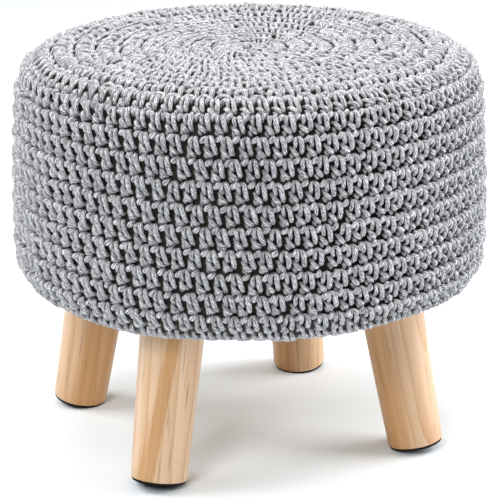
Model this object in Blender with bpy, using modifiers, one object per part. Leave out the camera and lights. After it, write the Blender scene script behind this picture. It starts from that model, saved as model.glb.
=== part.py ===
"""A round pouf footstool: a crocheted, filled seat on a base board, with four splayed round legs.

Units are metres and +Z is up. The origin is on the floor, under the middle of the seat. The
cover is worked in rounds from the middle of the top outward and down the side, and each round
is a ridge of the seat's turned outline.
"""

import math

import bpy
import bmesh
from mathutils import Matrix, Vector

MM = 0.001
GAP = 0.3 * MM  # what pieces that touch keep between them

# Seat: half of its outline over the tops of the ridges, as (radius, height), from the middle
# of the top to the edge that is drawn in under the board.
SEAT_OUTLINE = [
    (0.0 * MM, 336.0 * MM),
    (60.0 * MM, 336.6 * MM),
    (110.0 * MM, 337.4 * MM),
    (148.0 * MM, 338.2 * MM),
    (163.0 * MM, 337.2 * MM),
    (180.0 * MM, 330.8 * MM),
    (190.0 * MM, 321.5 * MM),
    (194.6 * MM, 309.0 * MM),
    (196.6 * MM, 294.0 * MM),
    (198.2 * MM, 262.0 * MM),
    (199.6 * MM, 222.0 * MM),
    (200.0 * MM, 190.0 * MM),
    (199.3 * MM, 168.0 * MM),
    (196.0 * MM, 152.5 * MM),
    (189.0 * MM, 143.5 * MM),
    (179.0 * MM, 139.4 * MM),
    (168.5 * MM, 139.4 * MM),
]
CURVE_STEPS = 24  # points between two points of the outline, where lengths are measured along it
TURN_STEPS = 60  # sides of the turned seat and of the board

# Rounds of stitches. A round's ridge rises from the groove at its start.
TOP_ROUNDS = 10
TOP_ROUND = 18.95 * MM  # width of one round on the top
SIDE_ROUNDS = 10
SIDE_ROUND = 18.24 * MM  # width of one round on the side
TOP_GROOVE = 2.4 * MM  # how deep the groove between two rounds is
SIDE_GROOVE = 3.4 * MM
RIDGE_AT = 0.24  # where a ridge is highest, as a share of its round
BELLY_AT = 0.68  # where the ridge's lower half is still full
BELLY_DEPTH = 0.25  # how far it is set in there, as a share of the groove's depth

# Base board, set into the seat's underside.
BOARD_RADIUS = 166.0 * MM
BOARD_THICKNESS = 16.0 * MM
BOARD_UNDERSIDE = 141.0 * MM

# Legs: round, tapered, cut square at the foot and level under the board.
LEG_FOOT_RADIUS = 23.2 * MM
LEG_TOP_RADIUS = 27.8 * MM
LEG_LENGTH = 160.0 * MM  # before it is cut level; the taper runs over this length
LEG_SIDES = 32

# Foot pads: discs on the square-cut feet, pressed flat where they meet the floor.
PAD_RADIUS = 22.4 * MM
PAD_THICKNESS = 2.0 * MM
PAD_PRESSED = 1.0 * MM  # how much of its lowest edge is pressed flat

# Where each leg stands, as (name, x, y) of its foot, and how far it leans out from upright,
# straight away from the middle of the seat. They are set by hand, so no two are quite alike.
LEGS = [
    ("front_left", -124.5 * MM, -98.5 * MM, math.radians(12.0)),
    ("front_right", 106.0 * MM, -109.0 * MM, math.radians(11.0)),
    ("back_right", 97.5 * MM, 115.0 * MM, math.radians(9.5)),
    ("back_left", -119.0 * MM, 110.5 * MM, math.radians(10.5)),
]

CUTTER_SIZE = 0.6  # side of the blocks that trim the legs and the pads

CORD_GREY = (0.47, 0.475, 0.49, 1.0)
PINE = (0.62, 0.42, 0.25, 1.0)
BOARD_BROWN = (0.46, 0.375, 0.27, 1.0)
PAD_BLACK = (0.01, 0.01, 0.011, 1.0)


def clear_scene():
    """Removes every object, so the model starts empty."""
    for item in list(bpy.data.objects):
        bpy.data.objects.remove(item, do_unlink=True)


def new_collection(name):
    """A collection in the scene."""
    made = bpy.data.collections.new(name)
    bpy.context.scene.collection.children.link(made)
    return made


def new_material(name, colour, roughness):
    """A Principled material of one colour."""
    material = bpy.data.materials.new(name)
    material.use_nodes = True
    shader = material.node_tree.nodes["Principled BSDF"]
    shader.inputs["Base Color"].default_value = colour
    shader.inputs["Roughness"].default_value = roughness
    shader.inputs["Metallic"].default_value = 0.0
    return material


def add_object(name, mesh, collection, material=None):
    """An object that shows a mesh, in a collection."""
    made = bpy.data.objects.new(name, mesh)
    collection.objects.link(made)
    if material is not None:
        mesh.materials.append(material)
    return made


def smooth_curve(points, steps):
    """Points along a curve through the given points, with a Catmull-Rom blend between them."""
    padded = [2 * points[0] - points[1], *points, 2 * points[-1] - points[-2]]
    curve = []
    for before, start, end, after in zip(padded, padded[1:], padded[2:], padded[3:]):
        for step in range(steps):
            t = step / steps
            curve.append(
                0.5
                * (
                    2 * start
                    + (end - before) * t
                    + (2 * before - 5 * start + 4 * end - after) * t**2
                    + (3 * start - before - 3 * end + after) * t**3
                )
            )
    curve.append(points[-1])
    return curve


class Outline:
    """The seat's outline, read by the length along it."""

    def __init__(self, points, steps):
        self.points = smooth_curve([Vector(point) for point in points], steps)
        self.lengths = [0.0]
        for start, end in zip(self.points, self.points[1:]):
            self.lengths.append(self.lengths[-1] + (end - start).length)

    def at(self, length, depth=0.0):
        """The point at a length along the outline, set in by a depth from the surface."""
        index = 1
        while index < len(self.lengths) - 1 and self.lengths[index] < length:
            index += 1
        start, end = self.points[index - 1], self.points[index]
        along = (length - self.lengths[index - 1]) / (end - start).length
        run = (end - start).normalized()
        inward = Vector((run.y, -run.x))
        return start.lerp(end, along) + inward * depth


def ridge_points(outline, start, width, groove):
    """The groove, the highest place and the belly of the ridge of one round."""
    return [
        outline.at(start, groove),
        outline.at(start + RIDGE_AT * width),
        outline.at(start + BELLY_AT * width, BELLY_DEPTH * groove),
    ]


def seat_profile():
    """Half of the seat's section, from the middle of the top round to the board's recess."""
    outline = Outline(SEAT_OUTLINE, CURVE_STEPS)
    profile = []
    for number in range(TOP_ROUNDS):
        profile += ridge_points(outline, number * TOP_ROUND, TOP_ROUND, TOP_GROOVE)
    side_start = TOP_ROUNDS * TOP_ROUND
    for number in range(SIDE_ROUNDS):
        start = side_start + number * SIDE_ROUND
        profile += ridge_points(outline, start, SIDE_ROUND, SIDE_GROOVE)
    tuck_start = side_start + SIDE_ROUNDS * SIDE_ROUND
    tuck = outline.lengths[-1] - tuck_start
    profile.append(outline.at(tuck_start, SIDE_GROOVE))
    profile.append(outline.at(tuck_start + RIDGE_AT * SIDE_ROUND))
    profile.append(outline.at(tuck_start + BELLY_AT * tuck))
    profile.append(outline.at(outline.lengths[-1]))
    profile[0].x = 0.0
    recess_radius = BOARD_RADIUS + GAP
    recess_top = BOARD_UNDERSIDE + BOARD_THICKNESS + GAP
    profile.append(Vector((recess_radius, BOARD_UNDERSIDE)))
    profile.append(Vector((recess_radius, recess_top)))
    profile.append(Vector((0.0, recess_top)))
    return profile


def make_seat(collection, material):
    """The filled seat: its profile turned about the upright axis."""
    profile = seat_profile()
    mesh = bpy.data.meshes.new("crochet_seat")
    vertices = [(point.x, 0.0, point.y) for point in profile]
    edges = [(index, index + 1) for index in range(len(profile) - 1)]
    mesh.from_pydata(vertices, edges, [])
    seat = add_object("crochet_seat", mesh, collection, material)
    turn = seat.modifiers.new("turned", "SCREW")
    turn.axis = "Z"
    turn.angle = math.tau
    turn.steps = TURN_STEPS
    turn.render_steps = TURN_STEPS
    turn.use_merge_vertices = True
    turn.merge_threshold = 0.00001
    turn.use_smooth_shade = True
    return seat


def cone_mesh(name, low_radius, high_radius, length, sides):
    """A closed round bar along +Z that starts at the origin."""
    mesh = bpy.data.meshes.new(name)
    shape = bmesh.new()
    bmesh.ops.create_cone(
        shape,
        cap_ends=True,
        segments=sides,
        radius1=low_radius,
        radius2=high_radius,
        depth=length,
        matrix=Matrix.Translation((0.0, 0.0, length / 2)),
    )
    shape.to_mesh(mesh)
    shape.free()
    mesh.shade_smooth()
    mesh.set_sharp_from_angle(angle=math.radians(40))
    return mesh


def make_board(collection, material):
    """The round board that fills the recess under the seat."""
    mesh = cone_mesh("base_board", BOARD_RADIUS, BOARD_RADIUS, BOARD_THICKNESS, TURN_STEPS)
    board = add_object("base_board", mesh, collection, material)
    board.location = (0.0, 0.0, BOARD_UNDERSIDE)
    return board


def make_cutter(name, collection, centre_height):
    """A block that trims pieces level, centred on the axis at a height."""
    mesh = bpy.data.meshes.new(name)
    shape = bmesh.new()
    bmesh.ops.create_cube(shape, size=CUTTER_SIZE)
    shape.to_mesh(mesh)
    shape.free()
    cutter = add_object(name, mesh, collection)
    cutter.location = (0.0, 0.0, centre_height)
    cutter.hide_render = True
    cutter.display_type = "WIRE"
    return cutter


def cut(target, cutter):
    """Takes the cutter's volume off a piece."""
    trim = target.modifiers.new("cut_level", "BOOLEAN")
    trim.operation = "DIFFERENCE"
    trim.object = cutter


def leg_placement(x, y, lean):
    """A leg's frame: its origin in the middle of the pad's lower face, its +Z up the leg."""
    away = Vector((x, y, 0.0)).normalized()
    up_the_leg = Vector((0.0, 0.0, math.cos(lean))) - away * math.sin(lean)
    height = PAD_RADIUS * math.sin(lean) - PAD_PRESSED
    turn = Vector((0.0, 0.0, 1.0)).rotation_difference(up_the_leg).to_matrix().to_4x4()
    return Matrix.Translation((x, y, height)) @ turn


def make_legs(collection, pine, black, board_cutter, floor_cutter):
    """The four legs with their pads."""
    foot_height = PAD_THICKNESS + GAP
    for name, x, y, lean in LEGS:
        placement = leg_placement(x, y, lean)
        mesh = cone_mesh(f"leg_{name}", LEG_FOOT_RADIUS, LEG_TOP_RADIUS, LEG_LENGTH, LEG_SIDES)
        leg = add_object(f"leg_{name}", mesh, collection, pine)
        leg.matrix_world = placement @ Matrix.Translation((0.0, 0.0, foot_height))
        cut(leg, board_cutter)
        mesh = cone_mesh(f"pad_{name}", PAD_RADIUS, PAD_RADIUS, PAD_THICKNESS, LEG_SIDES)
        pad = add_object(f"pad_{name}", mesh, collection, black)
        pad.matrix_world = placement
        cut(pad, floor_cutter)


def main():
    clear_scene()
    parts = new_collection("crocheted_pouf_footstool")
    cutters = new_collection("cutters")
    make_seat(parts, new_material("cord", CORD_GREY, 0.9))
    make_board(parts, new_material("board", BOARD_BROWN, 0.7))
    board_cutter = make_cutter(
        "board_side", cutters, BOARD_UNDERSIDE - GAP + CUTTER_SIZE / 2
    )
    floor_cutter = make_cutter("floor_side", cutters, -CUTTER_SIZE / 2)
    pine = new_material("pine", PINE, 0.45)
    black = new_material("foot_pad", PAD_BLACK, 0.8)
    make_legs(parts, pine, black, board_cutter, floor_cutter)


main()
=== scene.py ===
"""Looks of the crocheted pouf footstool: the crocheted cover, stitch by stitch, over its filled
case, the base board, the pine legs with their pads, and a plain pale studio.

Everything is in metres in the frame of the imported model, which is loaded at the top. The cover is
worked as the real one is: rounds of stitches from the middle of the top outward and down the side.
"""

import math

import bmesh
import bpy
import numpy as np
from mathutils import Matrix, Vector


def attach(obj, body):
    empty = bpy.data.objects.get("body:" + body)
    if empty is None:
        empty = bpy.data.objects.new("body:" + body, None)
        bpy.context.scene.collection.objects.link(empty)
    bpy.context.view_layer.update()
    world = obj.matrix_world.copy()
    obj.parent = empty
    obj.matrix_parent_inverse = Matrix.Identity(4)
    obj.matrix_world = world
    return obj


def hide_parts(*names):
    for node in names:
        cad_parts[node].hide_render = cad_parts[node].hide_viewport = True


bl_info = {
    "name": "Crocheted pouf footstool",
    "version": (1, 0, 0),
    "blender": (4, 5, 0),
    "location": "3D View > Sidebar > Pouf",
    "description": "Makes a round crocheted pouf footstool on four pine legs",
    "category": "Add Mesh",
}

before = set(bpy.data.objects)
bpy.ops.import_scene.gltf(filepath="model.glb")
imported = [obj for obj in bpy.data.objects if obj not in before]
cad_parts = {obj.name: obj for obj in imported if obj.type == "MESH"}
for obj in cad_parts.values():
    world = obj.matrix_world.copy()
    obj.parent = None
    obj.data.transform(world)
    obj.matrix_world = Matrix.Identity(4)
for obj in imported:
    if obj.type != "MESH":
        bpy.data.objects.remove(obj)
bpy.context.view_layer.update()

MM = 0.001
UP = Vector((0.0, 0.0, 1.0))
GAP = 0.3 * MM  # what pieces that touch keep between them
SHARP_EDGE = math.radians(40)  # bend from which an edge of a turned piece shows as an edge

# Half of the seat's outline over the tops of its ridges, as (radius, height) in metres, from
# the middle of the top to the edge that is drawn in under the board.
SEAT_OUTLINE = [
    (0.0, 0.336),
    (0.060, 0.3366),
    (0.110, 0.3374),
    (0.148, 0.3382),
    (0.163, 0.3372),
    (0.180, 0.3308),
    (0.190, 0.3215),
    (0.1946, 0.309),
    (0.1966, 0.294),
    (0.1982, 0.262),
    (0.1996, 0.222),
    (0.2, 0.190),
    (0.1993, 0.168),
    (0.196, 0.1525),
    (0.189, 0.1435),
    (0.179, 0.1394),
    (0.1685, 0.1394),
]
OUTLINE_STEPS = 24  # steps from each of these points to the next

# Rounds of stitches.
TOP_ROUNDS = 10
TOP_ROUND = 18.95 * MM  # width of one round on the top
FIRST_ROUND_HOLE = 0.30  # share of the first round's width that is left open at the middle
SIDE_ROUNDS = 10
SIDE_ROUND = 18.24 * MM  # width of one round on the side
SIDE_TURN = 0.8833  # turn at which the first side round starts, in radians
ROUND_SHIFT = 0.42  # how far each side round starts after the one before, in stitches
HEM_START = TOP_ROUNDS * TOP_ROUND + SIDE_ROUNDS * SIDE_ROUND
TURN_SEED = 7  # for the turns at which the rounds of the top start
STITCH_SEED = 100  # for the stitches of the first round; each round after it takes the next seed

# Pieces that the cover is made in: name, and the number of the round that it ends before.
COVER_PIECES = [
    ("crochet_top_middle", 8),
    ("crochet_top_rim", 11),
    ("crochet_side_upper", 14),
    ("crochet_side_middle", 17),
    ("crochet_side_lower", 20),
    ("crochet_hem", 21),
]

# The case under the cover, and the board in its recess.
CASE_DEPTH = 8.0 * MM  # how far the case lies under the outline
CASE_DEPTH_BELOW = 3.2 * MM  # the same at the edge under the board, where the cover is thinner
CASE_THINS = (2.5, 1.5)  # where that changes, in side rounds before the outline's end
CASE_WALL = 0.5 * MM  # least thickness of the case beside the recess
CASE_TOP = 0.2  # height from which the case closes over the recess, in metres
CASE_STEPS = 90
CASE_SIDES = 180
BOARD_RADIUS = 166.0 * MM
BOARD_THICKNESS = 16.0 * MM
BOARD_UNDERSIDE = 141.0 * MM

# One stitch, as the strands of cord that show in it. Each point of a strand is: across the
# stitch, as a share of its width; down the round, as a share of the round's width; the height
# of the cord's middle over the cover's own middle layer in mm; and the cord's radius in mm.
ARCH = [
    (0.35, 0.54, -5.8, 1.4),
    (0.325, 0.45, -2.4, 1.5),
    (0.275, 0.33, -0.1, 1.75),
    (0.25, 0.20, 0.9, 1.8),
    (0.285, 0.09, -0.4, 1.55),
    (0.42, 0.05, -3.6, 1.4),
    (0.55, 0.05, -0.7, 1.75),
    (0.59, 0.14, 1.0, 2.05),
    (0.63, 0.28, 1.0, 2.15),
    (0.67, 0.44, 0.4, 2.15),
    (0.71, 0.60, -0.7, 2.05),
    (0.75, 0.73, -2.8, 1.9),
    (0.755, 0.77, -6.0, 1.4),
]
WRAP = [
    (0.09, 0.48, -5.6, 1.4),
    (0.16, 0.55, -3.2, 1.6),
    (0.24, 0.64, -1.4, 2.05),
    (0.33, 0.73, -0.8, 2.3),
    (0.44, 0.81, -1.8, 2.2),
    (0.54, 0.88, -5.2, 1.7),
]
UNDER = [
    (0.14, 0.80, -5.4, 1.4),
    (0.17, 0.87, -2.9, 1.6),
    (0.23, 0.94, -2.7, 1.6),
    (0.30, 1.00, -5.4, 1.3),
]
LINK = [
    (0.83, 0.22, -5.6, 1.6),
    (0.88, 0.17, -1.2, 2.0),
    (0.97, 0.12, 0.1, 2.3),
    (1.06, 0.07, 0.0, 2.25),
    (1.14, 0.02, -4.6, 1.7),
]
# The strands of a stitch: points, rings along the strand, sides of the cord.
STITCH_STRANDS = [
    (ARCH, 18, 8),
    (WRAP, 9, 8),
    (UNDER, 5, 6),
    (LINK, 7, 8),
]

# One stitch of the flat top: two legs side by side, the chain that runs along the round, and a
# low strand behind them.
LEFT_LEG = [
    (0.29, 0.00, -4.0, 1.5),
    (0.28, 0.13, 0.1, 2.0),
    (0.25, 0.29, 0.9, 2.15),
    (0.23, 0.44, 0.6, 2.15),
    (0.21, 0.57, -1.0, 1.9),
    (0.20, 0.67, -5.0, 1.4),
]
RIGHT_LEG = [
    (0.66, 0.00, -4.0, 1.5),
    (0.69, 0.13, 0.3, 2.0),
    (0.73, 0.29, 1.1, 2.25),
    (0.76, 0.45, 0.8, 2.25),
    (0.79, 0.60, -0.9, 2.0),
    (0.80, 0.70, -5.0, 1.4),
]
CHAIN = [
    (-0.06, 1.02, -3.6, 1.4),
    (0.10, 0.94, -0.9, 1.9),
    (0.34, 0.85, 0.0, 2.15),
    (0.62, 0.86, 0.0, 2.15),
    (0.86, 0.97, -1.0, 1.9),
    (1.00, 1.06, -3.6, 1.4),
]
BACKING = [
    (-0.10, 0.15, -3.6, 1.6),
    (0.25, 0.09, -2.4, 2.0),
    (0.75, 0.09, -2.4, 2.0),
    (1.10, 0.15, -3.6, 1.6),
]
TOP_STRANDS = [
    (LEFT_LEG, 9, 8),
    (RIGHT_LEG, 9, 8),
    (CHAIN, 10, 8),
    (BACKING, 6, 6),
]
FLAT_ROUNDS = 9  # rounds of the top that have this flatter stitch
FLAT_UNEVENNESS = 1.9  # how many times as uneven those are as the rest

# One stitch of the edging under the board, worked back along the last round: its loops lie flat
# along the edge.
EDGE_FRONT = [
    (-0.14, 0.40, -4.6, 1.4),
    (0.00, 0.47, -0.9, 1.9),
    (0.25, 0.54, 0.2, 2.2),
    (0.60, 0.57, 0.3, 2.2),
    (0.92, 0.51, -0.6, 1.9),
    (1.05, 0.42, -4.4, 1.4),
]
EDGE_BACK = [
    (-0.10, 0.66, -4.6, 1.4),
    (0.05, 0.72, -0.9, 1.8),
    (0.35, 0.80, -0.2, 2.0),
    (0.70, 0.82, -0.2, 2.0),
    (0.98, 0.76, -0.9, 1.8),
    (1.10, 0.68, -4.4, 1.4),
]
SHORT_LEG = [
    (0.40, -0.04, -4.6, 1.5),
    (0.47, 0.06, -0.6, 2.1),
    (0.57, 0.19, 0.4, 2.3),
    (0.69, 0.32, -0.4, 2.2),
    (0.77, 0.41, -4.6, 1.6),
]
SHORT_WRAP = [
    (-0.04, -0.01, -4.6, 1.5),
    (0.04, 0.08, -0.8, 2.1),
    (0.15, 0.19, 0.2, 2.3),
    (0.29, 0.31, -0.4, 2.2),
    (0.38, 0.39, -4.6, 1.6),
]
EDGE_STRANDS = [
    (EDGE_FRONT, 11, 8),
    (EDGE_BACK, 11, 8),
    (SHORT_LEG, 9, 8),
    (SHORT_WRAP, 9, 8),
]

MIDDLE_LAYER = 1.4 * MM  # how far the cover's middle layer lies under the outline
CORD_FLATNESS = 0.78  # the cord's thickness off the case, as a share of its width along it
FULL_STITCH = 13.8 * MM  # width of a stitch from which the cord has its full girth
LEAST_GIRTH = 0.62  # the cord's girth in the narrowest stitches, as a share of the full one

# Rounds of the top, counted from 0 at its middle, and the share of their full relief that the
# stitches have in each. Between them it changes evenly.
TOP_RELIEF_ROUNDS = (2, 5, 7, 9)
TOP_RELIEF = (0.55, 0.8, 1.0, 0.65)
LOW_RELIEF = 0.5  # share of the relief down to which the cord grows thicker
LOW_RELIEF_GIRTH = 1.06  # how many times as thick it is there
# The same for how far the stitches lean along the round, in stitches for each round's width.
TOP_LEAN_ROUNDS = (3, 7)
TOP_LEAN = (0.8, 0.0)
LEAN_MIDDLE = 0.4  # place down the round that stays where it is when a stitch leans

# How much the hand's stitches differ, as a standard deviation of each: across and down as shares
# of the stitch and of the round, lift in mm, slant as the lean above, girth as a share. The
# single points of a strand differ by a little more.
STITCH_SPREAD = {"across": 0.030, "slant": 0.08, "down": 0.025, "lift": 0.25, "girth": 0.04}
POINT_SPREAD = {"across": 0.012, "down": 0.012, "lift": 0.12}

# Where the cover's edge hangs lower than the outline, or is pulled up: the turn of the place and
# its half width in degrees, and the drop in mm. The drop fades out over one round above the edge.
EDGE_DROPS = [
    (-143.0, 26.0, 2.2),
    (-103.5, 4.0, 2.2),
    (-68.0, 18.0, -1.8),
]

# The cord's own make.
CORD_PLIES = 7.0
CORD_TWIST = 2.4  # plies that pass in a centimetre
CORD_LENGTH = 50.0  # centimetres over which the strands start, so that no two look the same
PLY_WAVER = 1.4  # how fast the plies waver along the cord, for each centimetre
PLY_FLATNESS = 0.5  # power that a ply's height is raised to: less is flatter
GROOVE_POWER = 0.9  # power that a groove's depth is raised to: more is narrower
FIBRE_ALONG = 4.5  # how fast the fibres change along the cord, for each centimetre
FIBRE_AROUND = 2.4  # how fast they change round it
CELL_MARGIN = 0.3  # edge round each strand's cell of the bake map, in faces of the strand

# Legs: name, x, y of the foot in metres, lean from upright in degrees.
LEGS = [
    ("front_left", -0.1245, -0.0985, 12.0),
    ("front_right", 0.106, -0.109, 11.0),
    ("back_right", 0.0975, 0.115, 9.5),
    ("back_left", -0.119, 0.1105, 10.5),
]
LEG_FOOT_RADIUS = 23.2 * MM
LEG_TOP_RADIUS = 27.8 * MM
LEG_LENGTH = 160.0 * MM
LEG_EDGE = 1.2 * MM  # rounding of the foot's edge
LEG_EDGE_STEPS = 4
LEG_STEPS = 12
LEG_SIDES = 72
PAD_RADIUS = 22.4 * MM
PAD_THICKNESS = 2.0 * MM
PAD_PRESSED = 1.0 * MM  # how deep the pad's inner edge is pressed flat
PAD_EDGE = 0.3 * MM  # rounding of the pad's upper edge
# The pad's rim: how far in from its radius, with how far up from its lower face, and then with
# how far down from its upper face, in roundings of the upper edge.
PAD_LOWER_RIM = [(5.0, 0.0), (2.6, 0.6), (0.9, 1.8), (0.0, 3.6)]
PAD_UPPER_RIM = [(0.0, 1.0), (0.3, 0.3), (1.0, 0.0)]

# How each leg's stick grew: where its pith lies from the leg's middle and how that leans, in
# metres; and how many rings it has in a metre. Then a darker band across the leg, along the
# direction across the camera's view, which leans with the height where that direction has a
# height of its own: on the front left leg it is a streak of heartwood, on the other three it is
# painted shade on the side that faces in under the seat.
GROWN = {
    "front_left": {
        "Pith": (-0.11, 0.05, 0.0),
        "Lean": (0.02, 0.0, 0.0),
        "Rings per Metre": 120.0,
        "Across": (0.92, -0.39, -0.14),
        "Heart Place": -0.0135,
        "Heart Half Width": 0.0080,
        "Seed": 1.0,
    },
    "front_right": {
        "Pith": (0.05, -0.10, 0.0),
        "Lean": (0.10, 0.10, 0.0),
        "Rings per Metre": 110.0,
        "Across": (0.92, -0.39, 0.0),
        "Heart Place": -0.022,
        "Heart Half Width": 0.020,
        "Seed": 4.0,
    },
    "back_right": {
        "Pith": (-0.09, -0.02, 0.0),
        "Lean": (0.05, 0.0, 0.0),
        "Rings per Metre": 120.0,
        "Across": (0.92, -0.39, 0.0),
        "Heart Place": -0.014,
        "Heart Half Width": 0.015,
        "Seed": 9.0,
    },
    "back_left": {
        "Pith": (-0.12, 0.02, 0.0),
        "Lean": (-0.06, 0.0, 0.0),
        "Rings per Metre": 90.0,
        "Across": (0.92, -0.39, -0.06),
        "Heart Place": 0.007,
        "Heart Half Width": 0.016,
        "Seed": 7.0,
    },
}
# How far the whole of each stick is darkened to the colour of the band across it, most on the
# two legs at the back.
STICK_DEPTH = {"front_left": 0.0, "front_right": 0.16, "back_right": 0.3, "back_left": 0.3}
BOARD_SEED = 4.0  # for the streaks of the board

# What all pine has alike. The streaks and rings change along the wood by these shares of how
# they change across it, which draws them out.
STREAK_DRAW = 0.035
RING_DRAW = 0.10
RING_WAVER = 2.2  # how far the rings wander, in rings
LATE_SHARPNESS = 3.5  # how narrow the dark late wood of each ring is
HEART_AND_SHADE_DRIFT = 0.022  # how far the edges of the band of heartwood and painted shade wander, in metres

# Colours in the pine, as shares of the red, green and blue of its own colour.
# The heart shares also colour the painted shade on the inward sides of three legs.
HEART_AND_SHADE_SHARES = (0.75, 0.56, 0.28)
PALE_SHARES = (1.06, 1.10, 1.22)
LATE_SHARES = (0.78, 0.60, 0.40)
RESIN_SHARES = (0.40, 0.27, 0.16)

# The camera, fitted to the photograph.
CAMERA_PLACE = (-0.8205, -1.9331, 0.8240)
CAMERA_HEADING = math.radians(-23.0)
CAMERA_PITCH = 0.3072
CAMERA_ROLL = -0.0059
CAMERA_LENS = 185.5  # mm
SENSOR_WIDTH = 36.0  # mm

# Soft lights: name, place seen from the camera as (right, away, up) in metres, side of the
# square in metres, and its power as a share of the one in the settings. All are aimed at the
# seat's middle.
LIGHT_AIM = (0.0, 0.0, 0.2)
LIGHTS = [
    ("left", (-1.8, 0.3, 1.7), 1.5, 0.96),
    ("overhead", (0.0, 0.0, 2.4), 2.2, 0.76),
    ("behind", (0.0, 1.2, 2.3), 1.8, 0.40),
    ("right_high", (1.8, 0.3, 1.7), 1.5, 0.62),
    ("right_low", (2.0, 0.3, 0.9), 1.8, 1.06),
    ("front", (-1.1, -2.5, 2.1), 1.2, 1.24),
]
FLOOR_HALF = 8.0  # half of the floor's side, in metres

# What all colours in the settings have alike.
COLOUR = {"subtype": "COLOR", "size": 3, "min": 0.0, "max": 1.0}


class PoufCoverSettings(bpy.types.PropertyGroup):
    """What a user would change on the cover."""

    cord_colour: bpy.props.FloatVectorProperty(
        name="Cord colour",
        description="Colour of the cotton cord",
        default=(0.652, 0.651, 0.734),
        **COLOUR,
    )
    # The case's colour is partly its own and partly painted shade for the holes between the
    # stitches.
    case_and_hole_shade_colour: bpy.props.FloatVectorProperty(
        name="Case and hole shade colour",
        description="Colour of the case that shows in the holes between stitches",
        default=(0.035, 0.034, 0.028),
        **COLOUR,
    )
    side_stitches: bpy.props.IntProperty(
        name="Side stitches",
        description="Stitches in one round of the side",
        default=90,
        min=60,
        max=110,
    )
    added_stitches: bpy.props.IntProperty(
        name="Added stitches",
        description="Stitches that each round of the top has more than the one before",
        default=9,
        min=6,
        max=11,
    )
    unevenness: bpy.props.FloatProperty(
        name="Unevenness",
        description="How much the handmade stitches differ from each other",
        subtype="FACTOR",
        default=1.0,
        min=0.0,
        max=2.0,
    )


class PoufWoodSettings(bpy.types.PropertyGroup):
    """What a user would change on the legs and the pads."""

    pine_colour: bpy.props.FloatVectorProperty(
        name="Pine colour",
        description="Colour of the pale early wood",
        default=(0.64, 0.428, 0.258),
        **COLOUR,
    )
    pad_colour: bpy.props.FloatVectorProperty(
        name="Pad colour",
        description="Colour of the foot pads",
        default=(0.004, 0.004, 0.0045),
        **COLOUR,
    )


class PoufStageSettings(bpy.types.PropertyGroup):
    """What a user would change on the studio."""

    floor_colour: bpy.props.FloatVectorProperty(
        name="Floor colour",
        description="Colour of the floor",
        default=(0.80, 0.838, 0.866),
        **COLOUR,
    )
    light_power: bpy.props.FloatProperty(
        name="Light power",
        description="Power that each soft light has its own share of",
        default=48.0,
        min=0.0,
        unit="POWER",
    )
    sky_strength: bpy.props.FloatProperty(
        name="Sky",
        description="Strength of the even light from all round",
        default=0.04,
        min=0.0,
    )


def set_inputs(tree, node, inputs):
    """Puts values or sockets on a node's inputs."""
    for name, value in inputs.items():
        if isinstance(value, bpy.types.NodeSocket):
            tree.links.new(value, node.inputs[name])
        else:
            node.inputs[name].default_value = value


def add_node(tree, kind, settings=None, inputs=None):
    """A node with its settings, and with values or sockets on its inputs."""
    node = tree.nodes.new(kind)
    for name, value in (settings or {}).items():
        setattr(node, name, value)
    set_inputs(tree, node, inputs or {})
    return node


def math_node(tree, operation, *values):
    """The result of a sum on one or two values or sockets."""
    node = add_node(tree, "ShaderNodeMath", {"operation": operation}, dict(enumerate(values)))
    return node.outputs["Value"]


def vector_node(tree, operation, *vectors, output="Vector", **named):
    """The result of a sum on vectors, and on the inputs that are given by their names."""
    inputs = {**dict(enumerate(vectors)), **named}
    node = add_node(tree, "ShaderNodeVectorMath", {"operation": operation}, inputs)
    return node.outputs[output]


def parts_of(tree, vector):
    """The X, Y and Z of a vector, by name."""
    return add_node(tree, "ShaderNodeSeparateXYZ", inputs={"Vector": vector}).outputs


def vector_of(tree, x, y, z):
    """A vector of three values or sockets."""
    inputs = {"X": x, "Y": y, "Z": z}
    return add_node(tree, "ShaderNodeCombineXYZ", inputs=inputs).outputs["Vector"]


def map_range(tree, value, start=0.0, end=1.0, low=0.0, high=1.0, kind="LINEAR"):
    """A value that goes from low to high while the given one goes from start to end."""
    inputs = {"Value": value, "From Min": start, "From Max": end, "To Min": low, "To Max": high}
    node = add_node(tree, "ShaderNodeMapRange", {"interpolation_type": kind}, inputs)
    return node.outputs["Result"]


def noise(tree, point, scale, detail, **more):
    """A noise at a point. With a W it is another noise for each W."""
    dimensions = "4D" if "W" in more else "3D"
    inputs = {"Vector": point, "Scale": scale, "Detail": detail, **more}
    node = add_node(tree, "ShaderNodeTexNoise", {"noise_dimensions": dimensions}, inputs)
    return node.outputs["Fac"]


def bump_normal(tree, height, strength, depth):
    """The normal that a height gives to a surface, with its depth in metres."""
    inputs = {"Height": height, "Strength": strength, "Distance": depth}
    return add_node(tree, "ShaderNodeBump", inputs=inputs).outputs["Normal"]


def mix_colours(tree, factor, first, second):
    """The first colour where the factor is 0, the second where it is 1. The Mix node has inputs
    of one name for each type of data, so that those for colours are told by their numbers."""
    inputs = {0: factor, 6: first, 7: second}
    return add_node(tree, "ShaderNodeMix", {"data_type": "RGBA"}, inputs).outputs[2]


def shade(colour, *shares):
    """A colour with full alpha, times one share or a share for each of red, green and blue."""
    if len(shares) == 1:
        shares *= 3
    return (*(min(1.0, channel * share) for channel, share in zip(colour, shares)), 1.0)


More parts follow.
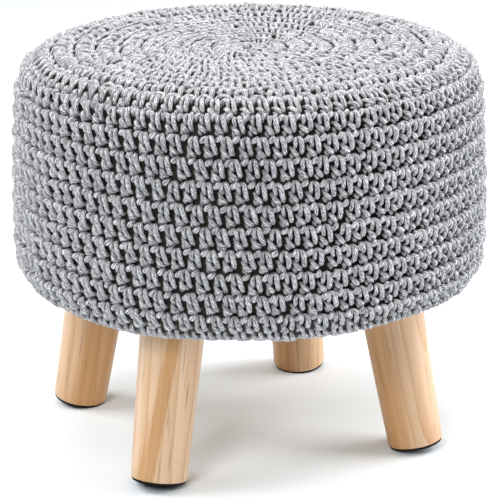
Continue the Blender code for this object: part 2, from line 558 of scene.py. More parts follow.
def new_group(name, vectors, numbers, results):
    """A shader node group that takes vectors, and numbers with their defaults, and gives number
    results: the group, the sockets of what it takes and the node of what it gives."""
    group = bpy.data.node_groups.new(name, "ShaderNodeTree")
    sockets = group.interface
    for label in vectors:
        sockets.new_socket(label, in_out="INPUT", socket_type="NodeSocketVector")
    for label, default in numbers.items():
        socket = sockets.new_socket(label, in_out="INPUT", socket_type="NodeSocketFloat")
        socket.default_value = default
    for label in results:
        sockets.new_socket(label, in_out="OUTPUT", socket_type="NodeSocketFloat")
    taken = group.nodes.new("NodeGroupInput").outputs
    given = group.nodes.new("NodeGroupOutput")
    return group, taken, given


def place_group(tree, group, inputs):
    """The results of a node group that is placed in a material with its own values."""
    return add_node(tree, "ShaderNodeGroup", {"node_tree": group}, inputs).outputs


def new_material(name):
    """A material with nodes, its tree, its Principled shader and the point on the object."""
    material = bpy.data.materials.new(name)
    material.use_nodes = True
    tree = material.node_tree
    point = add_node(tree, "ShaderNodeTexCoord").outputs["Object"]
    return material, tree, tree.nodes["Principled BSDF"], point


def cord_group():
    """Plies and fibres of a twisted cord, from a map that has the length along the cord in
    centimetres and the place round it as a share of a full turn. The twist is how many plies
    pass in a centimetre. The groove between the plies is the mask for the painted shade in them."""
    found = bpy.data.node_groups.get("cord_plies")
    if found:
        return found
    group, taken, given = new_group(
        "cord_plies",
        ["Map"],
        {"Plies": CORD_PLIES, "Twist": CORD_TWIST},
        ["Height", "Groove", "Fibre"],
    )
    place = parts_of(group, taken["Map"])
    along = place["X"]
    lay = math_node(group, "MULTIPLY", along, taken["Twist"])
    lead = math_node(group, "DIVIDE", lay, taken["Plies"])
    turn = math_node(group, "ADD", place["Y"], lead)
    angle = math_node(group, "MULTIPLY", turn, math.tau)
    cosine = math_node(group, "COSINE", angle)
    sine = math_node(group, "SINE", angle)

    loose = vector_of(group, math_node(group, "MULTIPLY", along, PLY_WAVER), cosine, sine)
    waver = noise(group, loose, scale=1.6, detail=1.0)
    lobe = math_node(group, "MULTIPLY", turn, taken["Plies"])
    lobe = math_node(group, "ADD", lobe, waver)
    wave = math_node(group, "SINE", math_node(group, "MULTIPLY", lobe, math.pi))
    wave = math_node(group, "ABSOLUTE", wave)
    groove = math_node(group, "POWER", math_node(group, "SUBTRACT", 1.0, wave), GROOVE_POWER)
    ply = math_node(group, "POWER", wave, PLY_FLATNESS)

    fine = vector_of(
        group,
        math_node(group, "MULTIPLY", along, FIBRE_ALONG),
        math_node(group, "MULTIPLY", cosine, FIBRE_AROUND),
        math_node(group, "MULTIPLY", sine, FIBRE_AROUND),
    )
    fibre = noise(group, fine, scale=1.0, detail=2.0, Roughness=0.7)
    height = math_node(group, "ADD", ply, fibre)
    set_inputs(group, given, {"Height": height, "Groove": groove, "Fibre": fibre})
    return group


def weave_group():
    """Fine plain weave on a surface, from a point in metres and the threads in a metre."""
    found = bpy.data.node_groups.get("plain_weave")
    if found:
        return found
    group, taken, given = new_group("plain_weave", ["Point"], {"Threads": 900.0}, ["Height"])
    scaled = vector_node(group, "SCALE", taken["Point"], Scale=taken["Threads"])
    place = parts_of(group, scaled)
    waves = [
        math_node(group, "SINE", math_node(group, "MULTIPLY", place[axis], math.pi))
        for axis in ("X", "Y", "Z")
    ]
    first = math_node(group, "MULTIPLY", waves[0], waves[1])
    second = math_node(group, "MULTIPLY", waves[1], waves[2])
    height = math_node(group, "ABSOLUTE", math_node(group, "ADD", first, second))
    set_inputs(group, given, {"Height": height})
    return group


def drawn_noise(group, point, seed, draw, scale, detail=2.0):
    """Noise drawn out along the wood: a small draw makes long streaks."""
    drawn = vector_node(group, "MULTIPLY", point, (1.0, 1.0, draw))
    return noise(group, drawn, scale, detail, W=seed)


def pine_group():
    """Growth rings, a darker band, resin lines, streaks and fibres of pine, from a point in metres
    whose Z is along the wood. The rings are round a pith far to one side, which leans a little.
    The darker band lies across the wood, at a place and with a half width in metres; it stands
    for heartwood and for painted shade."""
    found = bpy.data.node_groups.get("pine_grain")
    if found:
        return found
    group, taken, given = new_group(
        "pine_grain",
        ["Point", "Pith", "Lean", "Across"],
        {"Rings per Metre": 150.0, "Heart Place": 0.0, "Heart Half Width": 0.01, "Seed": 0.0},
        ["Ring", "Heart and Shade", "Resin", "Streak", "Fibre"],
    )
    point = taken["Point"]
    seed = taken["Seed"]
    lean = vector_node(group, "SCALE", taken["Lean"], Scale=parts_of(group, point)["Z"])
    pith = vector_node(group, "ADD", taken["Pith"], lean)
    from_pith = vector_node(group, "SUBTRACT", point, pith)
    level = vector_node(group, "MULTIPLY", from_pith, (1.0, 1.0, 0.0))
    away = vector_node(group, "LENGTH", level, output="Value")
    waver = drawn_noise(group, point, seed, RING_DRAW, scale=30.0)
    rings = math_node(group, "MULTIPLY", away, taken["Rings per Metre"])
    rings = math_node(group, "ADD", rings, math_node(group, "MULTIPLY", waver, RING_WAVER))
    late = math_node(group, "POWER", math_node(group, "FRACT", rings), LATE_SHARPNESS)

    across = vector_node(group, "DOT_PRODUCT", point, taken["Across"], output="Value")
    drift = math_node(group, "SUBTRACT", waver, 0.5)
    drift = math_node(group, "MULTIPLY", drift, HEART_AND_SHADE_DRIFT)
    offset = math_node(group, "ADD", across, drift)
    offset = math_node(group, "SUBTRACT", offset, taken["Heart Place"])
    offset = math_node(group, "ABSOLUTE", offset)
    share = math_node(group, "DIVIDE", offset, taken["Heart Half Width"])
    resin = drawn_noise(group, point, seed, STREAK_DRAW, scale=480.0, detail=1.0)
    results = {
        "Ring": late,
        # The darker band: heartwood on one leg, painted shade on the others.
        "Heart and Shade": map_range(group, share, start=1.15, end=0.55, kind="SMOOTHSTEP"),
        "Resin": map_range(group, resin, start=0.62, end=0.74),
        "Streak": drawn_noise(group, point, seed, STREAK_DRAW, scale=150.0, detail=4.0),
        "Fibre": drawn_noise(group, point, seed, STREAK_DRAW, scale=1200.0),
    }
    set_inputs(group, given, results)
    return group


def cord_material(colour):
    """Matt cotton cord with its plies, with painted shade in the grooves between them."""
    material, tree, shader, point = new_material("cotton_cord")
    cord_map = add_node(tree, "ShaderNodeUVMap", {"uv_map": "cord"}).outputs["UV"]
    make = {"Map": cord_map, "Plies": CORD_PLIES, "Twist": CORD_TWIST}
    plies = place_group(tree, cord_group(), make)
    pale = shade(colour, 1.5)
    dull = shade(colour, 0.34)
    shadow = shade(colour, 0.15)
    fibre = map_range(tree, plies["Fibre"], start=0.40, end=0.53)
    patch = noise(tree, point, scale=60.0, detail=1.0)
    tone = mix_colours(tree, fibre, dull, pale)
    tone = mix_colours(tree, math_node(tree, "MULTIPLY", patch, 0.25), tone, dull)
    # Painted shade: the grooves between the plies are darkened towards the shadow colour.
    tone = mix_colours(tree, math_node(tree, "MULTIPLY", plies["Groove"], 0.85), tone, shadow)
    looks = {
        "Base Color": tone,
        "Normal": bump_normal(tree, plies["Height"], strength=1.0, depth=0.9 * MM),
        "Roughness": 0.95,
        "Specular IOR Level": 0.12,
        "Sheen Weight": 0.15,
        "Sheen Roughness": 0.5,
    }
    set_inputs(tree, shader, looks)
    return material


def case_material(colour):
    """Plain-woven cloth of the inner case, in a near-black colour that is partly the cloth's own
    and partly painted shade for the holes between the stitches.
    """
    material, tree, shader, point = new_material("case_cloth")
    weave = place_group(tree, weave_group(), {"Point": point})["Height"]
    looks = {
        "Base Color": mix_colours(tree, weave, shade(colour, 1.0), shade(colour, 1.8)),
        "Normal": bump_normal(tree, weave, strength=0.5, depth=0.4 * MM),
        "Roughness": 0.95,
        "Specular IOR Level": 0.1,
    }
    set_inputs(tree, shader, looks)
    return material


def pine_material(name, colour, grown, depth):
    """Pine under a clear satin varnish, with the grain of one stick, and a darker band that is
    heartwood on one leg and painted shade on the others; its depth is how far the whole stick is
    darkened to the band's colour."""
    material, tree, shader, point = new_material(name)
    grain = place_group(tree, pine_group(), {"Point": point, **grown})
    heart_and_shade_colour = shade(colour, *HEART_AND_SHADE_SHARES)
    colour = [plain + depth * (dark - plain) for plain, dark in zip(colour, heart_and_shade_colour)]
    streak = map_range(tree, grain["Streak"], start=0.35, end=0.65)
    heart_and_shade = math_node(tree, "ADD", math_node(tree, "MULTIPLY", streak, -0.45), 1.0)
    heart_and_shade = math_node(tree, "MULTIPLY", heart_and_shade, grain["Heart and Shade"])
    late = math_node(tree, "MULTIPLY", grain["Ring"], 0.7)
    resin = math_node(tree, "MULTIPLY", grain["Resin"], 0.6)
    tone = mix_colours(tree, streak, shade(colour, 1.0), shade(colour, *PALE_SHARES))
    # The darker band: heartwood on the front left leg, painted shade on the inward sides of the
    # other legs.
    tone = mix_colours(tree, heart_and_shade, tone, heart_and_shade_colour)
    tone = mix_colours(tree, late, tone, shade(colour, *LATE_SHARES))
    tone = mix_colours(tree, resin, tone, shade(colour, *RESIN_SHARES))
    looks = {
        "Base Color": tone,
        "Normal": bump_normal(tree, grain["Fibre"], strength=0.15, depth=0.2 * MM),
        "Roughness": map_range(tree, grain["Fibre"], low=0.36, high=0.50),
        "Coat Weight": 0.25,
        "Coat Roughness": 0.25,
    }
    set_inputs(tree, shader, looks)
    return material


def pad_material(colour):
    """Matt black rubber with a fine grain."""
    material, tree, shader, point = new_material("pad_rubber")
    grain = noise(tree, point, scale=1500.0, detail=3.0)
    looks = {
        "Base Color": mix_colours(tree, grain, shade(colour, 1.0), shade(colour, 1.6)),
        "Normal": bump_normal(tree, grain, strength=0.4, depth=0.2 * MM),
        "Roughness": 0.75,
        "Specular IOR Level": 0.15,
    }
    set_inputs(tree, shader, looks)
    return material


def board_material():
    """Plain sanded board with a faint streaked grain."""
    material, tree, shader, point = new_material("sanded_board")
    grain = place_group(tree, pine_group(), {"Point": point, "Seed": BOARD_SEED})
    dark = (0.40, 0.32, 0.23, 1.0)
    pale = (0.52, 0.43, 0.32, 1.0)
    looks = {
        "Base Color": mix_colours(tree, grain["Streak"], dark, pale),
        "Normal": bump_normal(tree, grain["Fibre"], strength=0.3, depth=0.3 * MM),
        "Roughness": 0.7,
    }
    set_inputs(tree, shader, looks)
    return material


def floor_material(colour):
    """Smooth pale studio floor."""
    material, tree, shader, point = new_material("pale_floor")
    cloud = noise(tree, point, scale=1.5, detail=2.0)
    looks = {
        "Base Color": mix_colours(tree, cloud, shade(colour, 1.0), shade(colour, 0.985)),
        "Roughness": 0.9,
        "Specular IOR Level": 0.2,
    }
    set_inputs(tree, shader, looks)
    return material


def blend_shares(t):
    """How much each of four points in a row counts on a smooth Catmull-Rom curve through them,
    at a share of the way from the second point to the third."""
    return (
        0.5 * (-(t**3) + 2 * t**2 - t),
        0.5 * (3 * t**3 - 5 * t**2 + 2),
        0.5 * (-3 * t**3 + 4 * t**2 + t),
        0.5 * (t**3 - t**2),
    )


def smooth_curve(points, steps):
    """Points along a smooth curve through the given points, with steps between each two."""
    row = np.array([2 * points[0] - points[1], *points, 2 * points[-1] - points[-2]])
    curve = []
    for four in zip(row, row[1:], row[2:], row[3:]):
        for t in np.arange(steps) / steps:
            curve.append(sum(share * point for share, point in zip(blend_shares(t), four)))
    curve.append(points[-1])
    return np.array(curve)


def curve_weights(points, steps):
    """How much each of a strand's points counts at each of the steps along it."""
    weights = np.zeros((steps, points))
    for step, place in enumerate(np.linspace(0, points - 1, steps)):
        start = min(int(place), points - 2)
        for offset, share in zip((-1, 0, 1, 2), blend_shares(place - start)):
            weights[step, min(max(start + offset, 0), points - 1)] += share
    return weights


class Outline:
    """The seat's outline, read by the length along it from the middle of the top."""

    def __init__(self, points, steps):
        curve = smooth_curve(np.array(points), steps)
        runs = np.diff(curve, axis=0)
        self.lengths = np.concatenate([[0.0], np.cumsum(np.linalg.norm(runs, axis=1))])
        self.radii = curve[:, 0]
        self.heights = curve[:, 1]
        tangent = np.gradient(curve, axis=0)
        tangent /= np.linalg.norm(tangent, axis=1)[:, None]
        self.out = -tangent[:, 1]
        self.up = tangent[:, 0]
        self.end = self.lengths[-1]

    def facing(self, length):
        """How far the outline faces out, and how far up, at a length along it."""
        return np.interp(length, self.lengths, self.out), np.interp(length, self.lengths, self.up)

    def at(self, length, lift):
        """Radius and height at a length along the outline, raised by a lift off it."""
        radius = np.interp(length, self.lengths, self.radii)
        height = np.interp(length, self.lengths, self.heights)
        out, up = self.facing(length)
        return radius + out * lift, height + up * lift


OUTLINE = Outline(SEAT_OUTLINE, OUTLINE_STEPS)


class StitchRound:
    """One round of stitches: where it starts along the outline, how wide it is, how many
    stitches it has, the turn at which the first of them starts, the strands of a stitch, how far
    these stand up, as a share of their full relief, and how far they lean along the round."""

    def __init__(self, start, width, stitches, first_turn, strands, relief=1.0, lean=0.0):
        self.start = start
        self.width = width
        self.stitches = stitches
        self.first_turn = first_turn
        self.strands = strands
        self.relief = relief
        self.lean = lean


def stitch_rounds(settings):
    """Every round of the cover, from the middle of the top to the edge under the board."""
    rounds = []
    jitter = np.random.default_rng(TURN_SEED)
    for number in range(TOP_ROUNDS):
        stitches = settings.added_stitches * (number + 1)
        hole = FIRST_ROUND_HOLE if number == 0 else 0.0
        start = (number + hole) * TOP_ROUND
        width = (1.0 - hole) * TOP_ROUND
        turn = jitter.uniform(0.0, math.tau)
        relief = np.interp(number, TOP_RELIEF_ROUNDS, TOP_RELIEF)
        lean = np.interp(number, TOP_LEAN_ROUNDS, TOP_LEAN)
        strands = TOP_STRANDS if number < FLAT_ROUNDS else STITCH_STRANDS
        rounds.append(StitchRound(start, width, stitches, turn, strands, relief, lean))
    stitches = settings.side_stitches
    turn = SIDE_TURN
    start = TOP_ROUNDS * TOP_ROUND
    for _ in range(SIDE_ROUNDS):
        rounds.append(StitchRound(start, SIDE_ROUND, stitches, turn, STITCH_STRANDS))
        turn += ROUND_SHIFT * math.tau / stitches
        start += SIDE_ROUND
    rounds.append(StitchRound(start, OUTLINE.end - start, stitches, turn, EDGE_STRANDS))
    return rounds


def edge_drop(length, turn):
    """How much lower than the outline the cover hangs at a length along it and a turn."""
    share = np.clip((length - HEM_START) / SIDE_ROUND + 1.0, 0.0, 1.0) ** 2
    drop = np.zeros_like(turn)
    for middle, half_width, depth in EDGE_DROPS:
        away = (np.degrees(turn) - middle + 180.0) % 360.0 - 180.0
        near = np.clip(np.abs(away) / half_width, 0.0, 1.0)
        drop += depth * MM * 0.5 * (1 + np.cos(math.pi * near))
    return share * drop


def strand_points(stitch_round, points, jitter, wobble):
    """The points of one kind of strand in every stitch of a round, with the hand's unevenness:
    stitches, points, and then across, down, lift and radius."""
    placed = np.repeat(np.array(points, float)[None], stitch_round.stitches, axis=0)
    lean = stitch_round.lean + wobble["slant"][:, None]
    leaned = lean * (placed[:, :, 1] - LEAN_MIDDLE)
    for part, (name, spread) in enumerate(POINT_SPREAD.items()):
        placed[:, :, part] += wobble[name][:, None] + jitter.normal(0, spread, placed.shape[:2])
    placed[:, :, 0] += leaned
    placed[:, :, 2] *= stitch_round.relief
    placed[:, :, 3] *= 1 + wobble["girth"][:, None]
    placed[:, :, 3] *= np.interp(stitch_round.relief, (LOW_RELIEF, 1.0), (LOW_RELIEF_GIRTH, 1.0))
    return placed


def unit(vectors):
    """The vectors, each made one long."""
    return vectors / np.linalg.norm(vectors, axis=-1, keepdims=True)


def tube_rings(centres, radii, start_side, sides, outward):
    """Rings of points round many strands at once: strands, steps, sides, xyz. The strands are
    pressed flat against what lies inward of them."""
    tangents = unit(np.gradient(centres, axis=1))
    side = start_side
    angles = np.arange(sides)[None, :, None] * math.tau / sides
    rings = []
    for step in range(centres.shape[1]):
        tangent = tangents[:, step]
        side = unit(side - tangent * np.sum(side * tangent, axis=1, keepdims=True))
        other = np.cross(tangent, side)
        spread = np.cos(angles) * side[:, None] + np.sin(angles) * other[:, None]
        lifted = np.sum(spread * outward[:, step, None], axis=2, keepdims=True)
        spread -= (1 - CORD_FLATNESS) * lifted * outward[:, step, None]
        rings.append(centres[:, step, None] + spread * radii[:, step, None, None])
    return np.stack(rings, axis=1)


def round_strands(stitch_round, seed, unevenness):
    """The strands of a round, for each of their kinds: the rings round them, their ends, the
    lengths along them, and where on the cord they start in centimetres."""
    jitter = np.random.default_rng(seed)
    count = stitch_round.stitches
    wobble = {
        name: jitter.normal(0, spread * unevenness, count)
        for name, spread in STITCH_SPREAD.items()
    }
    step_turn = math.tau / count
    made = []
    for points, steps, sides in stitch_round.strands:
        placed = strand_points(stitch_round, points, jitter, wobble)
        samples = np.einsum("kp,npc->nkc", curve_weights(len(points), steps), placed)
        across, down, lift, radius_mm = np.moveaxis(samples, -1, 0)
        length = stitch_round.start + down * stitch_round.width
        length = np.clip(length, 0.0, OUTLINE.end)
        radius, height = OUTLINE.at(length, lift * MM - MIDDLE_LAYER)
        turn = stitch_round.first_turn + (np.arange(count)[:, None] + across) * step_turn
        height -= edge_drop(length, turn)
        centres = np.stack([radius * np.cos(turn), radius * np.sin(turn), height], axis=-1)
        girth = radius_mm * MM * np.clip(radius * step_turn / FULL_STITCH, LEAST_GIRTH, 1.0)
        side = np.stack([-np.sin(turn[:, 0]), np.cos(turn[:, 0]), np.zeros(count)], axis=-1)
        out, up = OUTLINE.facing(length)
        outward = np.stack([out * np.cos(turn), out * np.sin(turn), up], axis=-1)
        rings = tube_rings(centres, girth, side, sides, outward)
        spans = np.linalg.norm(np.diff(centres, axis=1), axis=2)
        lengths = np.concatenate([np.zeros((count, 1)), np.cumsum(spans, axis=1)], axis=1)
        starts = jitter.uniform(0, CORD_LENGTH, count)
        made.append((rings, centres[:, (0, -1)], lengths, starts))
    return made


def strand_faces(steps, sides):
    """Faces of one closed strand as point numbers, and each corner's (step, side) on its map.
    The points are the rings, then the two ends."""
    faces = []
    corners = []
    for step in range(steps - 1):
        for side in range(sides):
            low, high = step * sides, (step + 1) * sides
            after = (side + 1) % sides
            faces.append((low + side, low + after, high + after, high + side))
            corners.append(((step, side), (step, side + 1), (step + 1, side + 1), (step + 1, side)))
    first_end = steps * sides
    last = (steps - 1) * sides
    for side in range(sides):
        after = (side + 1) % sides
        faces.append((after, side, first_end))
        corners.append(((0, side + 1), (0, side), (-0.5, side + 0.5)))
        faces.append((last + side, last + after, first_end + 1))
        corners.append(((steps - 1, side), (steps - 1, side + 1), (steps - 0.5, side + 0.5)))
    return faces, corners


def strand_arrays(rings, ends, lengths, starts):
    """Points, face corners and face sizes of all strands of one kind, their cord map, and the
    place of each corner in a strand's cell of the bake map."""
    count, steps, sides = rings.shape[:3]
    faces, corners = strand_faces(steps, sides)
    points = np.concatenate([rings.reshape(count, steps * sides, 3), ends], axis=1)
    sizes = np.array([len(face) for face in faces])
    loop = np.array([index for face in faces for index in face])
    place = np.array([corner for face in corners for corner in face])
    loops = loop[None] + (np.arange(count) * points.shape[1])[:, None]
    step_index = np.clip(place[:, 0], 0, steps - 1).astype(int)
    along = lengths[:, step_index] * 100 + starts[:, None]  # in centimetres
    around = np.repeat((place[:, 1] / sides)[None], count, axis=0)
    cord_map = np.stack([along, around], axis=-1)
    corner = place + (0.5 + CELL_MARGIN, CELL_MARGIN)
    cell = corner / (steps + 2 * CELL_MARGIN, sides + 2 * CELL_MARGIN)
    return points.reshape(-1, 3), loops, np.tile(sizes, count), cord_map, cell


def add_object(name, data):
    """A new object in the scene."""
    made = bpy.data.objects.new(name, data)
    bpy.context.scene.collection.objects.link(made)
    return made


def cover_piece(name, strands, material):
    """One mesh object of many strands, with the cord map and a bake map that has a cell of its
    own for each strand."""
    total = sum(len(rings) for rings, _, _, _ in strands)
    columns = math.ceil(math.sqrt(total / 2))
    rows = math.ceil(total / columns)
    parts = {"points": [], "loops": [], "sizes": [], "cord": [], "OFBake": []}
    first_point = 0
    first_cell = 0
    for rings, ends, lengths, starts in strands:
        points, loops, sizes, cord_map, cell = strand_arrays(rings, ends, lengths, starts)
        cells = first_cell + np.arange(len(rings))
        corner = np.stack([cells % columns, cells // columns], axis=-1)
        bake_map = (cell[None] + corner[:, None]) / (columns, rows)
        parts["points"].append(points)
        parts["loops"].append((loops + first_point).ravel())
        parts["sizes"].append(sizes)
        parts["cord"].append(cord_map.reshape(-1, 2))
        parts["OFBake"].append(bake_map.reshape(-1, 2))
        first_point += len(points)
        first_cell += len(rings)
    whole = {label: np.concatenate(arrays) for label, arrays in parts.items()}
    mesh = bpy.data.meshes.new(name)
    mesh.vertices.add(len(whole["points"]))
    mesh.vertices.foreach_set("co", whole["points"].astype(np.float32).ravel())
    mesh.loops.add(len(whole["loops"]))
    mesh.loops.foreach_set("vertex_index", whole["loops"].astype(np.int32))
    mesh.polygons.add(len(whole["sizes"]))
    face_starts = np.concatenate([[0], np.cumsum(whole["sizes"])[:-1]])
    mesh.polygons.foreach_set("loop_start", face_starts.astype(np.int32))
    mesh.update(calc_edges=True)
    for label in ("cord", "OFBake"):
        layer = mesh.uv_layers.new(name=label)
        layer.uv.foreach_set("vector", whole[label].astype(np.float32).ravel())
    mesh.validate()
    mesh.shade_smooth()
    mesh.materials.append(material)
    return add_object(name, mesh)


def turned_object(name, profile, sides, material):
    """A closed form turned about the upright axis. The profile's (radius, height) points run
    from its lower middle out, up and back to its upper middle; its ends lie on the axis."""
    shape = bmesh.new()
    rings = []
    for radius, height in profile[1:-1]:
        ring = []
        for side in range(sides):
            angle = side * math.tau / sides
            place = (radius * math.cos(angle), radius * math.sin(angle), height)
            ring.append(shape.verts.new(place))
        rings.append(ring)
    for low, high in zip(rings, rings[1:]):
        for side in range(sides):
            after = (side + 1) % sides
            shape.faces.new((low[side], low[after], high[after], high[side]))
    foot = shape.verts.new((0.0, 0.0, profile[0][1]))
    head = shape.verts.new((0.0, 0.0, profile[-1][1]))
    for side in range(sides):
        after = (side + 1) % sides
        shape.faces.new((rings[0][after], rings[0][side], foot))
        shape.faces.new((rings[-1][side], rings[-1][after], head))
    mesh = bpy.data.meshes.new(name)
    shape.to_mesh(mesh)
    shape.free()
    mesh.shade_smooth()
    mesh.set_sharp_from_angle(angle=SHARP_EDGE)
    mesh.materials.append(material)
    return add_object(name, mesh)


def cut_level(made, height, keep_above):
    """Takes off what of an object lies under a height, or else what lies over it, and closes
    the cut."""
    bpy.context.view_layer.update()
    into_object = made.matrix_world.inverted()
    shape = bmesh.new()
    shape.from_mesh(made.data)
    cut = bmesh.ops.bisect_plane(
        shape,
        geom=shape.verts[:] + shape.edges[:] + shape.faces[:],
        plane_co=into_object @ (UP * height),
        plane_no=(into_object.to_3x3() @ UP).normalized(),
        clear_inner=keep_above,
        clear_outer=not keep_above,
    )
    rim = [part for part in cut["geom_cut"] if isinstance(part, bmesh.types.BMEdge)]
    bmesh.ops.holes_fill(shape, edges=rim)
    shape.to_mesh(made.data)
    shape.free()


def leg_placement(x, y, lean):
    """A leg's frame: its origin in the middle of the pad's lower face, its +Z up the leg."""
    away = Vector((x, y, 0.0)).normalized()
    up_the_leg = UP * math.cos(lean) - away * math.sin(lean)
    height = PAD_RADIUS * math.sin(lean) - PAD_PRESSED
    turn = UP.rotation_difference(up_the_leg).to_matrix().to_4x4()
    return Matrix.Translation((x, y, height)) @ turn


def case_profile():
    """The case's outline from the middle of the board's recess out, up and back over the top."""
    lengths = np.linspace(OUTLINE.end, 0.0, CASE_STEPS)
    thins = [OUTLINE.end - rounds * SIDE_ROUND for rounds in CASE_THINS]
    depths = np.interp(lengths, thins, (CASE_DEPTH, CASE_DEPTH_BELOW))
    radius, height = OUTLINE.at(lengths, -depths)
    recess = BOARD_RADIUS + GAP
    recess_top = BOARD_UNDERSIDE + BOARD_THICKNESS + GAP
    profile = [(0.0, recess_top), (recess, recess_top)]
    profile += [(r, h) for r, h in zip(radius, height) if r > recess + CASE_WALL or h > CASE_TOP]
    profile[-1] = (0.0, profile[-1][1])
    return profile


def leg_profile():
    """A leg's outline from the middle of its foot round the foot's edge and up the taper."""
    profile = [(0.0, 0.0), (LEG_FOOT_RADIUS - LEG_EDGE, 0.0)]
    for step in range(1, LEG_EDGE_STEPS + 1):
        angle = step * math.pi / (2 * LEG_EDGE_STEPS)
        radius = LEG_FOOT_RADIUS - LEG_EDGE + LEG_EDGE * math.sin(angle)
        profile.append((radius, LEG_EDGE - LEG_EDGE * math.cos(angle)))
    taper = (LEG_TOP_RADIUS - LEG_FOOT_RADIUS) / LEG_LENGTH
    for step in range(1, LEG_STEPS + 1):
        height = LEG_EDGE + step * (LEG_LENGTH - LEG_EDGE) / LEG_STEPS
        profile.append((LEG_FOOT_RADIUS + taper * height, height))
    profile.append((0.0, LEG_LENGTH))
    return profile


def pad_profile():
    """A pad's outline from the middle of its lower face round its rim to its upper face."""
    profile = [(0.0, 0.0)]
    for inward, up in PAD_LOWER_RIM:
        profile.append((PAD_RADIUS - inward * PAD_EDGE, up * PAD_EDGE))
    for inward, down in PAD_UPPER_RIM:
        profile.append((PAD_RADIUS - inward * PAD_EDGE, PAD_THICKNESS - down * PAD_EDGE))
    profile.append((0.0, PAD_THICKNESS))
    return profile


class POUF_OT_case(bpy.types.Operator):
    """Make the filled case that the cover is drawn over"""

    bl_idname = "pouf.case"
    bl_label = "Filled case"

    def execute(self, context):
        material = case_material(context.scene.pouf_cover.case_and_hole_shade_colour)
        case = turned_object("filled_case", case_profile(), CASE_SIDES, material)
        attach(case, "root")
        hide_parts("crochet_seat")
        return {"FINISHED"}


class POUF_OT_cover(bpy.types.Operator):
    """Crochet the cover in rounds"""

    bl_idname = "pouf.cover"
    bl_label = "Crocheted cover"

    def execute(self, context):
        settings = context.scene.pouf_cover
        material = cord_material(settings.cord_colour)
        rounds = stitch_rounds(settings)
        first = 0
        for name, end in COVER_PIECES:
            strands = []
            for number in range(first, end):
                flat = number < FLAT_ROUNDS
                unevenness = settings.unevenness * (FLAT_UNEVENNESS if flat else 1.0)
                strands += round_strands(rounds[number], STITCH_SEED + number, unevenness)
            piece = cover_piece(name, strands, material)
            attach(piece, "root")
            first = end
        return {"FINISHED"}


class POUF_OT_board(bpy.types.Operator):
    """Finish the base board under the seat"""

    bl_idname = "pouf.board"
    bl_label = "Base board"

    def execute(self, context):
        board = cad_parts["base_board"]
        finish = board.material_slots[0]
        finish.link = "OBJECT"
        finish.material = board_material()
        return {"FINISHED"}


class POUF_OT_legs(bpy.types.Operator):
    """Turn the four pine legs"""

    bl_idname = "pouf.legs"
    bl_label = "Legs"

    def execute(self, context):
        colour = context.scene.pouf_wood.pine_colour
        on_the_pad = Matrix.Translation(UP * (PAD_THICKNESS + GAP))
        for name, x, y, lean in LEGS:
            material = pine_material(f"pine_{name}", colour, GROWN[name], STICK_DEPTH[name])
            leg = turned_object(f"turned_leg_{name}", leg_profile(), LEG_SIDES, material)
            leg.matrix_world = leg_placement(x, y, math.radians(lean)) @ on_the_pad
            cut_level(leg, BOARD_UNDERSIDE - GAP, keep_above=False)
            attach(leg, "root")
            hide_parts(f"leg_{name}")
        return {"FINISHED"}


class POUF_OT_pads(bpy.types.Operator):
    """Set the foot pads"""

    bl_idname = "pouf.pads"
    bl_label = "Foot pads"

    def execute(self, context):
        material = pad_material(context.scene.pouf_wood.pad_colour)
        for name, x, y, lean in LEGS:
            pad = turned_object(f"foot_pad_{name}", pad_profile(), LEG_SIDES, material)
            pad.matrix_world = leg_placement(x, y, math.radians(lean))
            cut_level(pad, 0.0, keep_above=True)
            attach(pad, "root")
            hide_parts(f"pad_{name}")
        return {"FINISHED"}


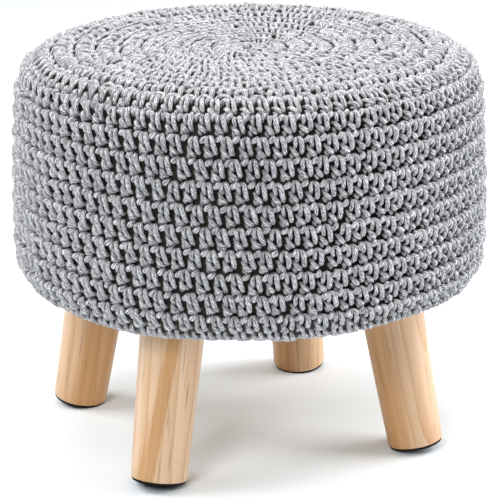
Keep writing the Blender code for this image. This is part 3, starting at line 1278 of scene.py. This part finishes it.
class POUF_OT_stage(bpy.types.Operator):
    """Set up the floor, the lights and the camera"""

    bl_idname = "pouf.stage"
    bl_label = "Studio"

    def execute(self, context):
        scene = context.scene
        settings = scene.pouf_stage
        mesh = bpy.data.meshes.new("floor")
        signs = ((-1, -1), (1, -1), (1, 1), (-1, 1))
        corners = [(x * FLOOR_HALF, y * FLOOR_HALF, 0.0) for x, y in signs]
        mesh.from_pydata(corners, [], [(0, 1, 2, 3)])
        mesh.materials.append(floor_material(settings.floor_colour))
        floor = add_object("floor", mesh)

        world = bpy.data.worlds.new("studio")
        world.use_nodes = True
        sky = world.node_tree.nodes["Background"]
        sky.inputs["Color"].default_value = (1.0, 1.0, 1.0, 1.0)
        sky.inputs["Strength"].default_value = settings.sky_strength
        scene.world = world

        facing = Matrix.Rotation(CAMERA_HEADING, 4, "Z")
        for name, place, size, share in LIGHTS:
            lamp = bpy.data.lights.new(name, "AREA")
            lamp.shape = "SQUARE"
            lamp.size = size
            lamp.energy = settings.light_power * share
            made = add_object(name, lamp)
            made.location = facing @ Vector(place)
            direction = Vector(LIGHT_AIM) - made.location
            made.rotation_euler = direction.to_track_quat("-Z", "Y").to_euler()

        lens = bpy.data.cameras.new("camera")
        lens.lens = CAMERA_LENS
        lens.sensor_width = SENSOR_WIDTH
        camera = add_object("camera", lens)
        pitch = Matrix.Rotation(math.pi / 2 - CAMERA_PITCH, 4, "X")
        roll = Matrix.Rotation(CAMERA_ROLL, 4, "Z")
        camera.matrix_world = Matrix.Translation(CAMERA_PLACE) @ facing @ pitch @ roll
        scene.camera = camera
        scene.view_settings.view_transform = "Standard"
        return {"FINISHED"}


OPERATORS = (
    POUF_OT_case,
    POUF_OT_cover,
    POUF_OT_board,
    POUF_OT_legs,
    POUF_OT_pads,
    POUF_OT_stage,
)


class POUF_PT_panel(bpy.types.Panel):
    """Lists the pieces of the pouf and their settings"""

    bl_idname = "POUF_PT_panel"
    bl_label = "Crocheted pouf"
    bl_space_type = "VIEW_3D"
    bl_region_type = "UI"
    bl_category = "Pouf"

    def draw(self, context):
        scene = context.scene
        for settings in (scene.pouf_cover, scene.pouf_wood, scene.pouf_stage):
            for name in type(settings).__annotations__:
                self.layout.prop(settings, name)
        for operator in OPERATORS:
            self.layout.operator(operator.bl_idname)


SETTINGS = {
    "pouf_cover": PoufCoverSettings,
    "pouf_wood": PoufWoodSettings,
    "pouf_stage": PoufStageSettings,
}
CLASSES = (*SETTINGS.values(), *OPERATORS, POUF_PT_panel)


def register():
    for made in CLASSES:
        bpy.utils.register_class(made)
    for name, group in SETTINGS.items():
        setattr(bpy.types.Scene, name, bpy.props.PointerProperty(type=group))


def unregister():
    for name in SETTINGS:
        delattr(bpy.types.Scene, name)
    for made in reversed(CLASSES):
        bpy.utils.unregister_class(made)


def main():
    """Makes every piece in order."""
    register()
    bpy.ops.pouf.case()
    bpy.ops.pouf.cover()
    bpy.ops.pouf.board()
    bpy.ops.pouf.legs()
    bpy.ops.pouf.pads()
    bpy.ops.pouf.stage()


if __name__ == "__main__":
    main()
